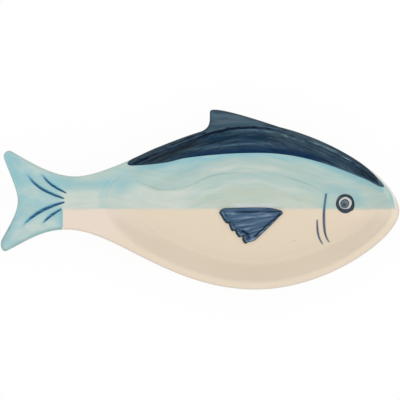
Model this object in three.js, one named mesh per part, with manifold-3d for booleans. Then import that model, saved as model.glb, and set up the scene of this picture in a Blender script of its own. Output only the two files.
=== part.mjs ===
// Fish-shaped trinket dish in hand-painted stoneware: a cast clay body with a shallow well, a flat rim that
// widens into the tail and the back fin, and a foot ring below. Coloured slips lie on it as thin fired coats,
// and the pectoral fin stands in low relief on the floor of the well.
// Millimetres. +X runs to the nose, +Y to the back fin, +Z up. Plan positions are measured from mid-length
// and from the waterline, the level where the blue flank meets the cream belly.
import * as THREE from "three";
import { mergeVertices } from "three/addons/utils/BufferGeometryUtils.js";
import Module from "manifold-3d";

const wasm = await Module();
wasm.setup();

// Outline of the fish
const NOSE_REACH = 99.5; // mid-length to the nose
const NOSE_DROP = 1; // the nose lies this far below the waterline
const BACK_CREST = 43.4; // height of the back, and where along the length it is
const BACK_CREST_X = 23.5;
const BELLY_DEPTH = 39.9;
const BELLY_X = 26;
const STALK_TOP = 16.9; // the tail stalk's narrowest places
const STALK_TOP_X = -62.5;
const STALK_BOTTOM = 9.9;
const STALK_BOTTOM_X = -67;
const UPPER_LOBE = 28.9; // the tail's upper lobe, just before its round tip
const UPPER_LOBE_X = -94;
const UPPER_TIP_WIDTH = 4.2; // from there round the tip to the fork's edge
const UPPER_TIP_DROP = 3.4;
const LOWER_LOBE = 20.2; // the same for the lower lobe
const LOWER_LOBE_X = -96.5;
const LOWER_TIP_WIDTH = 2.8;
const LOWER_TIP_RISE = 5.2;
const FORK_X = -91.4; // deepest point of the tail's fork
const FORK_HEIGHT = 4.5;

// Back fin
const FIN_RISE = 6.6; // tip above the crest of the back
const FIN_TIP_X = 8;
const FIN_TIP_WIDTH = 3.4; // the tip's round end
const FIN_TIP_DROP = 2.6;
const FIN_REAR_X = 0; // where the fin's two edges leave the back
const FIN_FRONT_X = 40;
const FIN_ROOT = 6; // how far the fin's clay runs into the rim

// Section of the dish
const FOOT_HEIGHT = 2.5;
const FOOT_WIDTH = 4;
const FOOT_INSET = 2; // foot ring's outer face, in from the edge of the floor
const FOOT_SOFTENING = 0.6; // bevel of the foot's lower edges
const FLOOR_THICKNESS = 5;
const WELL_DEPTH = 9;
const WALL_RUN = 10.2; // plan width of the well's sloping wall
const WALL_THICKNESS = 4.6;
const FLOOR_FILLET = 3;
const LIP_ROUND = 1.4;
const RIM_WIDTH = 3.2;
const SLAB_THICKNESS = 6; // rim, tail and back fin
const EDGE_ROUND = 1.3; // rounding of the outer edges, in plan and in height
const EDGE_ROUND_HEIGHT = 2.4;
const OVERCUT = 0.05; // what cuts the well stands this far proud of the rim

// Well in plan
const WELL_END_X = -49.5;
const WELL_END_HEIGHT = 4.5;
const WELL_SHOULDER_X = -32.5; // where the rim leaves the outline on the back, and on the belly
const WELL_HIP_X = -28;

// Fired coats of coloured slip
const COAT_GAP = 0.2; // seat below each coat
const WASH_COAT = 0.3;
const BRUSH_COAT = 0.4;
const COAT_CLEARANCE = 0.3; // between neighbouring coats
const EDGE_BARE = 0.8; // clay left bare round the outline, and round the nose
const NOSE_BARE = 2.2;
const TAIL_WASH_X = -69; // where the tail's own wash ends

// Navy coat along the back, by the places that its lower edge passes
const BACK_COAT_TAIL_X = -35.8;
const BACK_COAT_TAIL = 22;
const BACK_COAT_MIDDLE_X = 29;
const BACK_COAT_MIDDLE = 28.3;
const BACK_COAT_NOSE_X = 91.8;
const BACK_COAT_NOSE = 11.4;

// Pectoral fin
const PECTORAL_FRONT_X = 41.3;
const PECTORAL_TOP = 1.3; // top edge above the waterline
const PECTORAL_REAR_X = 9.6;
const PECTORAL_REAR_DEPTH = 1.5;
const PECTORAL_TOE_X = 23.2;
const PECTORAL_TOE_DEPTH = 16.9;
const PECTORAL_CORNER = 2.2; // rounding of the front and rear corners
const PECTORAL_CROWN = 0.55; // bow of the top edge between them
const PECTORAL_SCALLOPS = 4;
const SCALLOP_SWING = 30; // degrees by which a scallop's edge swings out of the rear edge's line
const SCALLOP_RETURN = 75; // and by which it turns back at its end
const PECTORAL_THICKNESS = 1.1;
const PECTORAL_BEVEL = 0.4;
const RAY_COUNT = 4; // grooves that fan from the front corner
const RAY_WIDTH = 0.5;
const RAY_DEPTH = 0.35;
const RAY_MARGIN = 2; // each groove stops this far short of the two ends

// Eye, from the nose and the waterline
const EYE_SETBACK = 26.9;
const EYE_HEIGHT = 3;
const EYE_RING_RADIUS = 4.7;
const EYE_WHITE_RADIUS = 3.1;
const EYE_PUPIL_RADIUS = 2.2;

// Brush strokes, each by its two ends, its full width and the bulge of its middle to the left of its run.
// Gill strokes are placed from the eye, and tail strokes from where the tail's wash ends at the waterline.
const GILL_STROKES = [
  { name: "gill_stroke_long", from: [-9.4, 5.2], to: [-7.7, -19.3], width: 1.1, bulge: -2.2 },
  { name: "gill_stroke_short", from: [-14, -8], to: [-10.9, -20.4], width: 0.9, bulge: -1.2 },
];
const TAIL_STROKES = [
  { name: "tail_stroke_upper_long", from: [-17.2, 17.6], to: [1.2, 5.6], width: 1.3, bulge: -1.7 },
  { name: "tail_stroke_upper_short", from: [-9.8, 18], to: [2.3, 8.2], width: 1.1, bulge: -1.1 },
  { name: "tail_stroke_lower_long", from: [-19.1, -8.2], to: [1.4, 4], width: 1.4, bulge: 1.7 },
  { name: "tail_stroke_lower_short", from: [-9.4, -7], to: [0.8, 0.6], width: 1.1, bulge: 0.7 },
];

const STROKE_TIP_SHARE = 0.25; // width of a stroke's ends, as a share of its full width
const STROKE_SWELL = 0.6; // a lower power brings a stroke to its full width sooner

// Fineness of the curves
const PEN_STEP = 4.5; // length of a facet along an outline
const PEN_LEAST_STEPS = 5;
const QUARTER_POINTS = 18; // facets in a quarter of the bowl
const EDGE_STEPS = 3;
const STROKE_STEPS = 10;
const CIRCLE_STEPS = 24;

const FLOOR_Z = FOOT_HEIGHT + FLOOR_THICKNESS;
const RIM_Z = FLOOR_Z + WELL_DEPTH;
const SLAB_UNDERSIDE_Z = RIM_Z - SLAB_THICKNESS;
const UPPER_TIP_X = UPPER_LOBE_X - UPPER_TIP_WIDTH;
const LOWER_TIP_X = LOWER_LOBE_X - LOWER_TIP_WIDTH;
const FIN_HEIGHT = BACK_CREST + FIN_RISE;
const EYE_X = NOSE_REACH - EYE_SETBACK;

const CREAM = { color: 0xe4d5c2, roughness: 0.28 };
const PALE_BLUE = { color: 0xb4cbc6, roughness: 0.28 };
const TAIL_BLUE = { color: 0xa8c8c9, roughness: 0.28 };
const NAVY = { color: 0x2a4055, roughness: 0.3 };
const SLATE_BLUE = { color: 0x50687f, roughness: 0.32 };
const STROKE_BLUE = { color: 0x3b6480, roughness: 0.3 };
const EYE_WHITE = { color: 0xdcd8cf, roughness: 0.28 };

// Points of a closed path drawn as with a pen, or of an open one. A knot has a place, a heading in degrees,
// another heading to leave by where the path turns sharply, and the shares of the chords before and after it
// that its handles span. A stretch without handles is straight.
function pen(knots, closed = true) {
  const handle = (knot, heading, reach) => {
    const turn = THREE.MathUtils.degToRad(heading);
    return new THREE.Vector2(knot.x + reach * Math.cos(turn), knot.y + reach * Math.sin(turn));
  };
  const points = [];
  const stretches = closed ? knots.length : knots.length - 1;
  for (let i = 0; i < stretches; i++) {
    const a = knots[i];
    const b = knots[(i + 1) % knots.length];
    const start = new THREE.Vector2(a.x, a.y);
    const end = new THREE.Vector2(b.x, b.y);
    const chord = start.distanceTo(end);
    const after = a.after ?? 0;
    const before = b.before ?? 0;
    const leave = handle(a, a.leaving ?? a.heading, chord * after);
    const arrive = handle(b, b.heading, -chord * before);
    const straight = after === 0 && before === 0;
    const steps = straight ? 1 : Math.max(PEN_LEAST_STEPS, Math.round(chord / PEN_STEP));
    points.push(...new THREE.CubicBezierCurve(start, leave, arrive, end).getPoints(steps).slice(0, -1));
  }
  if (!closed) points.push(new THREE.Vector2(knots.at(-1).x, knots.at(-1).y));
  return points;
}

// Points of a closed anticlockwise outline moved into it by a distance, which may depend on the point.
function inset(points, distance) {
  const count = points.length;
  return points.map((point, i) => {
    const along = points[(i + 1) % count].clone().sub(points[(i + count - 1) % count]).normalize();
    const inward = new THREE.Vector2(-along.y, along.x);
    return point.clone().addScaledVector(inward, typeof distance === "function" ? distance(point) : distance);
  });
}

const grown = (points) => inset(points, -COAT_CLEARANCE);

// A closed solid that can be joined and cut.
function solid(geometry) {
  geometry.deleteAttribute("normal");
  geometry.deleteAttribute("uv");
  const merged = mergeVertices(geometry);
  const mesh = new wasm.Mesh({
    numProp: 3,
    vertProperties: merged.attributes.position.array,
    triVerts: new Uint32Array(merged.index.array),
  });
  return new wasm.Manifold(mesh);
}

// An upright prism over a plan outline, from the well's floor up where no other bottom is given.
function prism(points, bottom = FLOOR_Z, height = RIM_Z) {
  const geometry = new THREE.ExtrudeGeometry(new THREE.Shape(points), { depth: height, bevelEnabled: false });
  geometry.translate(0, 0, bottom);
  return solid(geometry);
}

// A slab with rounded edges whose top face lies at that height.
function roundedSlab(points, thickness, top, round, roundHeight) {
  const geometry = new THREE.ExtrudeGeometry(new THREE.Shape(points), {
    depth: thickness - 2 * roundHeight,
    bevelThickness: roundHeight,
    bevelSize: round,
    bevelOffset: -round,
    bevelSegments: EDGE_STEPS,
  });
  geometry.translate(0, 0, top - thickness + roundHeight);
  return solid(geometry);
}

// A solid through a stack of rings of equally many points, capped at both ends.
function loft(rings) {
  const count = rings[0].length;
  const vertices = rings.flat();
  const faces = [];
  const cap = (ring, first, facingUp) => {
    const centre = ring.reduce((sum, point) => sum.add(point), new THREE.Vector3()).divideScalar(count);
    const hub = vertices.push(centre) - 1;
    for (let i = 0; i < count; i++) {
      const edge = [first + i, first + ((i + 1) % count)];
      faces.push(...(facingUp ? edge : edge.reverse()), hub);
    }
  };
  const lastRing = (rings.length - 1) * count;
  for (let lower = 0; lower < lastRing; lower += count) {
    const upper = lower + count;
    for (let i = 0; i < count; i++) {
      const next = (i + 1) % count;
      faces.push(lower + i, lower + next, upper + next, lower + i, upper + next, upper + i);
    }
  }
  cap(rings[0], 0, false);
  cap(rings.at(-1), lastRing, true);
  return solid(new THREE.BufferGeometry().setFromPoints(vertices).setIndex(faces));
}

// Fish without its back fin, anticlockwise from the nose.
const fishOutline = pen([
  { x: NOSE_REACH, y: -NOSE_DROP, heading: 90, before: 0.19, after: 0.245 },
  { x: BACK_CREST_X, y: BACK_CREST, heading: 180, before: 0.28, after: 0.345 },
  { x: STALK_TOP_X, y: STALK_TOP, heading: 180, before: 0.22, after: 0.325 },
  { x: UPPER_LOBE_X, y: UPPER_LOBE, heading: 150, before: 0.31, after: 0.48 },
  { x: UPPER_TIP_X, y: UPPER_LOBE - UPPER_TIP_DROP, heading: 289, before: 0.48, after: 0.32 },
  { x: FORK_X, y: FORK_HEIGHT, heading: 270, before: 0.24, after: 0.3 },
  { x: LOWER_TIP_X, y: LOWER_TIP_RISE - LOWER_LOBE, heading: 243, before: 0.33, after: 0.5 },
  { x: LOWER_LOBE_X, y: -LOWER_LOBE, heading: 27, before: 0.5, after: 0.345 },
  { x: STALK_BOTTOM_X, y: -STALK_BOTTOM, heading: 0, before: 0.41, after: 0.245 },
  { x: BELLY_X, y: -BELLY_DEPTH, heading: 0, before: 0.4, after: 0.395 },
]);

// Height of the back's edge at a place along the length.
function backHeight(x) {
  const after = fishOutline.findIndex((point) => point.x < x);
  const [a, b] = [fishOutline[after - 1], fishOutline[after]];
  return THREE.MathUtils.mapLinear(x, a.x, b.x, a.y, b.y);
}

const finOutline = pen([
  { x: FIN_FRONT_X, y: backHeight(FIN_FRONT_X), heading: 90, leaving: 162, after: 0.23 },
  { x: FIN_TIP_X, y: FIN_HEIGHT, heading: 178, before: 0.21, after: 0.4 },
  { x: FIN_TIP_X - FIN_TIP_WIDTH, y: FIN_HEIGHT - FIN_TIP_DROP, heading: 270, before: 0.4, after: 0.45 },
  { x: FIN_REAR_X, y: backHeight(FIN_REAR_X), heading: 199, before: 0.53 },
  { x: FIN_REAR_X, y: backHeight(FIN_REAR_X) - FIN_ROOT, heading: 0 },
  { x: FIN_FRONT_X, y: backHeight(FIN_FRONT_X) - FIN_ROOT, heading: 90 },
]);

// Mouth of the well: the outline drawn in by the rim along the body, and a round end short of the tail stalk.
function mouthOfWell() {
  const rim = inset(fishOutline, RIM_WIDTH);
  const back = rim.slice(0, rim.findIndex((point) => point.x < WELL_SHOULDER_X));
  const belly = rim.slice(rim.findLastIndex((point) => point.x < WELL_HIP_X) + 1);
  const degrees = (from, to) => THREE.MathUtils.radToDeg(to.clone().sub(from).angle());
  const knotAt = ({ x, y }, from, to) => ({ x, y, heading: degrees(from, to) });
  const shoulder = { ...knotAt(back.at(-1), back.at(-2), back.at(-1)), after: 0.4 };
  const tailEnd = { x: WELL_END_X, y: WELL_END_HEIGHT, heading: 270, before: 0.4, after: 0.25 };
  const hip = { ...knotAt(belly[0], belly[0], belly[1]), before: 0.25 };
  return [...back.slice(0, -1), ...pen([shoulder, tailEnd, hip], false).slice(0, -1), ...belly];
}

// Plan of the well's floor, drawn in from the floor's edge by that distance.
function floorOutline(distance) {
  const drawnIn = RIM_WIDTH + WALL_RUN + distance;
  return pen([
    { x: NOSE_REACH - drawnIn, y: -NOSE_DROP, heading: 90, before: 0.15, after: 0.18 },
    { x: BACK_CREST_X, y: BACK_CREST - drawnIn, heading: 180, before: 0.3, after: 0.3 },
    { x: WELL_END_X + WALL_RUN + distance, y: WELL_END_HEIGHT, heading: 270, before: 0.2, after: 0.2 },
    { x: BELLY_X, y: drawnIn - BELLY_DEPTH, heading: 0, before: 0.36, after: 0.32 },
  ]);
}

// A closed outline as a ring of evenly spaced points in each of its four quarters, which meet where the
// outline is furthest to the nose, to the back, to the tail and to the belly.
function quarteredRing(points) {
  const furthest = (reach) => {
    const reaches = points.map(reach);
    return reaches.indexOf(Math.max(...reaches));
  };
  const ends = [(p) => p.x, (p) => p.y, (p) => -p.x, (p) => -p.y].map(furthest);
  const twiceRound = [...points, ...points].map((point) => new THREE.Vector3(point.x, point.y, 0));
  return ends.flatMap((first, quarter) => {
    const last = ends[(quarter + 1) % ends.length];
    const stretch = twiceRound.slice(first, last + 1 + (last < first ? points.length : 0));
    return new THREE.CatmullRomCurve3(stretch).getSpacedPoints(QUARTER_POINTS).slice(0, -1);
  });
}

const mouthRing = quarteredRing(mouthOfWell());
const floorRing = quarteredRing(floorOutline(0));

// A section of the bowl carried round it: a point of the section is its run in from the mouth and its height.
function carriedRound(section) {
  return section.map(({ x: run, y: z }) =>
    mouthRing.map((point, i) => point.clone().lerp(floorRing[i], run / WALL_RUN).setZ(z)),
  );
}

const wallSlope = Math.atan2(WELL_DEPTH, WALL_RUN);

// Run of the bowl's outer face at a height: the well's wall moved out by its thickness.
function outerRun(z) {
  const inner = WALL_RUN - (z - FLOOR_Z) / Math.tan(wallSlope);
  return inner - WALL_THICKNESS / Math.sin(wallSlope);
}

function wellSection() {
  const upTheWall = (distance) => [
    WALL_RUN - distance * Math.cos(wallSlope),
    FLOOR_Z + distance * Math.sin(wallSlope),
  ];
  const wallLength = Math.hypot(WALL_RUN, WELL_DEPTH);
  const path = new THREE.Path();
  path.moveTo(WALL_RUN + FLOOR_FILLET, FLOOR_Z);
  path.quadraticCurveTo(WALL_RUN, FLOOR_Z, ...upTheWall(FLOOR_FILLET));
  path.lineTo(...upTheWall(wallLength - LIP_ROUND));
  path.quadraticCurveTo(0, RIM_Z, -LIP_ROUND, RIM_Z + OVERCUT);
  path.lineTo(-LIP_ROUND, RIM_Z + SLAB_THICKNESS);
  return path.getPoints(EDGE_STEPS);
}

function bowlSection() {
  const filletTop = FOOT_HEIGHT + FLOOR_FILLET / 2;
  const top = SLAB_UNDERSIDE_Z + EDGE_ROUND_HEIGHT / 2;
  const path = new THREE.Path();
  path.moveTo(outerRun(FOOT_HEIGHT) + FLOOR_FILLET, FOOT_HEIGHT);
  path.quadraticCurveTo(outerRun(FOOT_HEIGHT), FOOT_HEIGHT, outerRun(filletTop), filletTop);
  path.lineTo(outerRun(top), top);
  return path.getPoints(EDGE_STEPS);
}

function footRing() {
  const top = FOOT_HEIGHT + FLOOR_THICKNESS / 2;
  const pad = roundedSlab(floorOutline(FOOT_INSET), top, top, FOOT_SOFTENING, FOOT_SOFTENING);
  return pad.subtract(prism(floorOutline(FOOT_INSET + FOOT_WIDTH), -FOOT_HEIGHT, 2 * FOOT_HEIGHT));
}

const clayBody = roundedSlab(fishOutline, SLAB_THICKNESS, RIM_Z, EDGE_ROUND, EDGE_ROUND_HEIGHT)
  .add(roundedSlab(finOutline, SLAB_THICKNESS, RIM_Z, EDGE_ROUND, EDGE_ROUND_HEIGHT))
  .add(loft(carriedRound(bowlSection())))
  .add(footRing())
  .subtract(loft(carriedRound(wellSection())));

// A coat of that thickness over the dish's upper surface, inside an upright prism.
function coat(area, thickness) {
  const under = clayBody.translate(0, 0, COAT_GAP);
  const over = under.translate(0, 0, thickness);
  return area.intersect(over).subtract(under);
}

function circle(radius) {
  const ring = new THREE.Path().absarc(EYE_X, EYE_HEIGHT, radius, 0, 2 * Math.PI);
  return ring.getPoints(CIRCLE_STEPS).slice(0, -1);
}

function rectangle(left, low, right, high) {
  return [
    new THREE.Vector2(left, low),
    new THREE.Vector2(right, low),
    new THREE.Vector2(right, high),
    new THREE.Vector2(left, high),
  ];
}

// Outline of a brush stroke that swells from a thin start to its full width and thins again to its end.
function strokeOutline(stroke, originX, originY) {
  const origin = new THREE.Vector2(originX, originY);
  const start = new THREE.Vector2(...stroke.from).add(origin);
  const end = new THREE.Vector2(...stroke.to).add(origin);
  const turnLeft = (vector) => new THREE.Vector2(-vector.y, vector.x);
  const side = turnLeft(end.clone().sub(start).normalize());
  const bend = start.clone().lerp(end, 0.5).addScaledVector(side, 2 * stroke.bulge);
  const curve = new THREE.QuadraticBezierCurve(start, bend, end);
  const left = [];
  const right = [];
  for (let i = 0; i <= STROKE_STEPS; i++) {
    const share = i / STROKE_STEPS;
    const swell = Math.sin(Math.PI * share) ** STROKE_SWELL;
    const half = (stroke.width / 2) * THREE.MathUtils.lerp(STROKE_TIP_SHARE, 1, swell);
    const across = turnLeft(curve.getTangent(share));
    left.push(curve.getPoint(share).addScaledVector(across, half));
    right.push(curve.getPoint(share).addScaledVector(across, -half));
  }
  return [...right, ...left.reverse()];
}

// Pectoral fin: a straight top, round corners in front and behind, and scallops down its rear edge.
function pectoralOutline() {
  const rear = new THREE.Vector2(PECTORAL_REAR_X, -PECTORAL_REAR_DEPTH);
  const toe = new THREE.Vector2(PECTORAL_TOE_X, -PECTORAL_TOE_DEPTH);
  const down = THREE.MathUtils.radToDeg(toe.clone().sub(rear).angle());
  const shoulder = PECTORAL_TOP - PECTORAL_CROWN;
  const turn = { heading: down + SCALLOP_RETURN, leaving: down - SCALLOP_SWING };
  const scallops = [];
  for (let i = 1; i < PECTORAL_SCALLOPS; i++) {
    const notch = rear.clone().lerp(toe, i / PECTORAL_SCALLOPS);
    scallops.push({ x: notch.x, y: notch.y, ...turn, before: 0.5, after: 0.4 });
  }
  return pen([
    { x: PECTORAL_FRONT_X - PECTORAL_CORNER, y: shoulder, heading: 165, before: 0.4, after: 0.3 },
    { x: (PECTORAL_FRONT_X + PECTORAL_REAR_X) / 2, y: PECTORAL_TOP, heading: 180, before: 0.3, after: 0.3 },
    { x: PECTORAL_REAR_X + PECTORAL_CORNER, y: shoulder, heading: 200, before: 0.3, after: 0.4 },
    { x: rear.x, y: rear.y, heading: 270, leaving: turn.leaving, before: 0.4, after: 0.4 },
    ...scallops,
    { x: toe.x, y: toe.y, heading: down + 60, leaving: 20, before: 0.4, after: 0.2 },
    { x: PECTORAL_FRONT_X, y: -PECTORAL_CORNER, heading: 43, leaving: 60, before: 0.4, after: 0.4 },
  ]);
}

// Grooves that fan from the front corner of the pectoral fin towards its rear edge.
function rayGrooves() {
  const front = new THREE.Vector2(PECTORAL_FRONT_X, -PECTORAL_TOP / 2);
  const rear = new THREE.Vector2(PECTORAL_REAR_X, -PECTORAL_REAR_DEPTH);
  const toe = new THREE.Vector2(PECTORAL_TOE_X, -PECTORAL_TOE_DEPTH);
  const bottom = FLOOR_Z + PECTORAL_THICKNESS - RAY_DEPTH;
  const grooves = [];
  for (let i = 0; i < RAY_COUNT; i++) {
    const aim = rear.clone().lerp(toe, (i + 0.5) / RAY_COUNT);
    const along = aim.clone().sub(front).normalize();
    const across = new THREE.Vector2(-along.y, along.x).multiplyScalar(RAY_WIDTH / 2);
    const tip = aim.clone().addScaledVector(along, -RAY_MARGIN);
    const start = front.clone().addScaledVector(along, 2 * RAY_MARGIN);
    grooves.push(prism([start, tip.clone().sub(across), tip.clone().add(across)], bottom));
  }
  return grooves;
}

function pectoralFin() {
  const top = FLOOR_Z + PECTORAL_THICKNESS;
  const blank = roundedSlab(pectoralOutline(), 2 * PECTORAL_THICKNESS, top, PECTORAL_BEVEL, PECTORAL_BEVEL);
  const below = prism(rectangle(-NOSE_REACH, -BELLY_DEPTH, NOSE_REACH, BACK_CREST), FLOOR_Z - RIM_Z);
  return rayGrooves().reduce((fin, groove) => fin.subtract(groove), blank.subtract(below));
}

const strokes = [
  ...GILL_STROKES.map((stroke) => ({ name: stroke.name, outline: strokeOutline(stroke, EYE_X, EYE_HEIGHT) })),
  ...TAIL_STROKES.map((stroke) => ({ name: stroke.name, outline: strokeOutline(stroke, TAIL_WASH_X, 0) })),
];

// Plan areas of the coats. Each wash leaves room for what is painted over it.
const bareEdge = (point) =>
  THREE.MathUtils.mapLinear(Math.max(point.x, BACK_CREST_X), BACK_CREST_X, NOSE_REACH, EDGE_BARE, NOSE_BARE);
const paintable = prism(inset(fishOutline, bareEdge)).add(prism(inset(finOutline, EDGE_BARE)));
const overpainted = [circle(EYE_RING_RADIUS), pectoralOutline(), ...strokes.map((stroke) => stroke.outline)];
const washable = overpainted.reduce((area, outline) => area.subtract(prism(grown(outline))), paintable);

const aboveBack = FIN_HEIGHT + RIM_WIDTH;
const backOutline = pen([
  { x: BACK_COAT_NOSE_X, y: BACK_COAT_NOSE, heading: 338, leaving: 90, before: 0.3 },
  { x: BACK_COAT_NOSE_X, y: aboveBack, heading: 180 },
  { x: BACK_COAT_TAIL_X, y: aboveBack, heading: 270 },
  { x: BACK_COAT_TAIL_X, y: BACK_COAT_TAIL, heading: 7, after: 0.3 },
  { x: BACK_COAT_MIDDLE_X, y: BACK_COAT_MIDDLE, heading: 0, before: 0.35, after: 0.38 },
]);
const aboveWaterline = prism(rectangle(TAIL_WASH_X + COAT_CLEARANCE, 0, NOSE_REACH, aboveBack));
const flankArea = washable.intersect(aboveWaterline).subtract(prism(grown(backOutline)));
const behindStalk = prism(rectangle(-2 * NOSE_REACH, -2 * BELLY_DEPTH, TAIL_WASH_X, aboveBack));
const tailArea = washable.intersect(behindStalk);

const dish = new THREE.Group();

function addPiece(name, shape, finish) {
  const { vertProperties, triVerts } = shape.getMesh();
  const geometry = new THREE.BufferGeometry();
  geometry.setAttribute("position", new THREE.BufferAttribute(vertProperties, 3));
  geometry.setIndex(new THREE.BufferAttribute(triVerts, 1));
  geometry.computeVertexNormals();
  const mesh = new THREE.Mesh(geometry, new THREE.MeshStandardMaterial({ metalness: 0, ...finish }));
  mesh.name = name;
  dish.add(mesh);
}

addPiece("clay_body", clayBody, CREAM);
addPiece("flank_wash", coat(flankArea, WASH_COAT), PALE_BLUE);
addPiece("tail_wash", coat(tailArea, WASH_COAT), TAIL_BLUE);
addPiece("back_paint", coat(paintable.intersect(prism(backOutline)), BRUSH_COAT), NAVY);
addPiece("pectoral_fin", pectoralFin(), SLATE_BLUE);
addPiece("eye_pupil", coat(prism(circle(EYE_PUPIL_RADIUS)), BRUSH_COAT), NAVY);
for (const [name, outer, inner, finish] of [
  ["eye_white", EYE_WHITE_RADIUS, EYE_PUPIL_RADIUS, EYE_WHITE],
  ["eye_ring", EYE_RING_RADIUS, EYE_WHITE_RADIUS, NAVY],
]) {
  const ring = prism(circle(outer)).subtract(prism(circle(inner + COAT_CLEARANCE)));
  addPiece(name, coat(ring, BRUSH_COAT), finish);
}
for (const { name, outline } of strokes) {
  addPiece(name, coat(prism(outline), BRUSH_COAT), STROKE_BLUE);
}

// The dish stands on its foot, centred over the origin.
const centre = new THREE.Box3().setFromObject(dish).getCenter(new THREE.Vector3());
dish.position.set(-centre.x, -centre.y, 0);

export default dish;
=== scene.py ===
import bmesh
import bpy
import numpy as np
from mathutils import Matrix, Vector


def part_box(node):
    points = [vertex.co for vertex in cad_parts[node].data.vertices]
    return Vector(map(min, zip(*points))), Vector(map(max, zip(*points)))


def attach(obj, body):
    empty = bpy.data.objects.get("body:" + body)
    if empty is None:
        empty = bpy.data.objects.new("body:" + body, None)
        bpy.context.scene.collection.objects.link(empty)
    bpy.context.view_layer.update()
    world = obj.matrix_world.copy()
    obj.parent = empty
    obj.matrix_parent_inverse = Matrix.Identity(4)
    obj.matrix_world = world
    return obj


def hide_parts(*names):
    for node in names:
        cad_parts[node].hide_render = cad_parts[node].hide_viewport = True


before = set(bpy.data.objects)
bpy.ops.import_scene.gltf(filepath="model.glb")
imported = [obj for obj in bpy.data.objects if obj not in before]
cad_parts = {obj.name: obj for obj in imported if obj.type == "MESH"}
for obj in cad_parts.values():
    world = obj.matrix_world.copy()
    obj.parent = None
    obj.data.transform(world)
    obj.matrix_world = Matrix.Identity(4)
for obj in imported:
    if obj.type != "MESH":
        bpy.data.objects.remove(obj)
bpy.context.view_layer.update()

# Clay body
# One piece of cast stoneware: a flat rim that widens into the tail and the back fin, a shallow well with a
# sloping wall, and a bowl under it. It is dipped in a cream glaze and fired, which rounds every edge.
MM = 0.001
PEN_STEP = 0.6  # mm between the points of a drawn path
PEN_POINTS = 6  # in its shortest stretch
# The fish's outline, anticlockwise from the nose. A plan point is a complex number, x + yi, in millimetres from
# mid-length and from the waterline.
FISH = [
    (99.5, -1.0, 90, 0.16, 0.24),  # nose
    (25.2, 43.3, 180, 0.28, 0.31),  # crest of the back
    (-23.0, 30.5, 202, 0.365, 0.14),  # the back's slope to the tail
    (-62.3, 16.7, 180, 0.295, 0.33),  # top of the tail stalk
    (-93.9, 29.2, 150, 0.31, 0.48),  # upper lobe of the tail
    (-98.0, 25.7, 289, 0.48, 0.32),  # its round tip
    (-91.05, 4.5, 270, 0.24, 0.3),  # fork
    (-99.1, -15.0, 243, 0.33, 0.5),  # round tip of the lower lobe
    (-96.1, -20.6, 27, 0.5, 0.345),  # lower lobe
    (-66.6, -10.05, 0, 0.38, 0.245),  # underside of the tail stalk
    (27.9, -39.98, 0, 0.44, 0.438),  # belly
]
FIN_FRONT_X = 40.0  # where the back fin starts, and where it ends
FIN_REAR_X = 0.0
OUTLINE_TRIM = 0.06  # keeps the smooth outline inside the facets of the frame's own
OUTLINE_POINTS = 760


def pen(knots, closed=False):
    """Points of a path of cubic curves. A knot is x, y, the heading in degrees, and the shares of the chords
    before and after it that its handles span."""
    stretches = zip(knots, knots[1:] + knots[:1] if closed else knots[1:])
    points = []
    for (x, y, leaving, _, after), (next_x, next_y, arriving, before, _) in stretches:
        start, end = complex(x, y), complex(next_x, next_y)
        chord = abs(end - start)
        out = start + after * chord * np.exp(1j * np.radians(leaving))
        into = end - before * chord * np.exp(1j * np.radians(arriving))
        t = np.linspace(0, 1, max(PEN_POINTS, int(chord / PEN_STEP)), endpoint=False)
        first_half = (1 - t) ** 3 * start + 3 * t * (1 - t) ** 2 * out
        points.append(first_half + 3 * t**2 * (1 - t) * into + t**3 * end)
    return np.concatenate(points if closed else [*points, [complex(*knots[-1][:2])]])


def inset(path, distance):
    """A closed anticlockwise path drawn in: each point moves by the distance to the left of the path's run."""
    run = np.roll(path, -1) - np.roll(path, 1)
    return path + 1j * run / abs(run) * distance


def evenly(path, count, closed=False):
    """Points at even steps along a path, from half a step on where it is closed."""
    lap = np.append(path, path[0]) if closed else path
    length = np.append(0, np.cumsum(abs(np.diff(lap))))
    shares = (np.arange(count) + 0.5) / count if closed else np.linspace(0, 1, count)
    return np.interp(shares * length[-1], length, lap)


def heading(start, end):
    """Direction from one plan point to another, in degrees."""
    return np.degrees(np.angle(end - start))


def height_along(path, x):
    """Height of a path that runs towards the tail, at places along the length."""
    return np.interp(x, path.real[::-1], path.imag[::-1])


fish = pen(FISH, closed=True)
back = fish[: np.argmax(fish.real < FISH[3][0])]
fin_edge = pen(
    [
        (FIN_FRONT_X, height_along(back, FIN_FRONT_X), 162, 0, 0.23),
        (7.6, 50.0, 178, 0.21, 0.5),  # tip
        (4.75, 48.4, 270, 0.45, 0.42),  # its round end
        (FIN_REAR_X, height_along(back, FIN_REAR_X), 199, 0.53, 0),
    ]
)
before_fin = fish[: np.argmax(fish.real < FIN_FRONT_X)]
after_fin = fish[np.argmax(fish.real < FIN_REAR_X) :]
drawn = np.concatenate([before_fin, fin_edge, after_fin])
outline = inset(evenly(drawn, OUTLINE_POINTS, closed=True), OUTLINE_TRIM)

clay_low, clay_high = (np.array(corner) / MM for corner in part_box("clay_body"))
drawn_middle = complex(*(axis.min() + np.ptp(axis) / 2 for axis in (outline.real, outline.imag)))
frame_middle = complex(*(clay_low + clay_high)[:2] / 2)
SHIFT = frame_middle - drawn_middle  # from the drawing's place to the frame's

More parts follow.
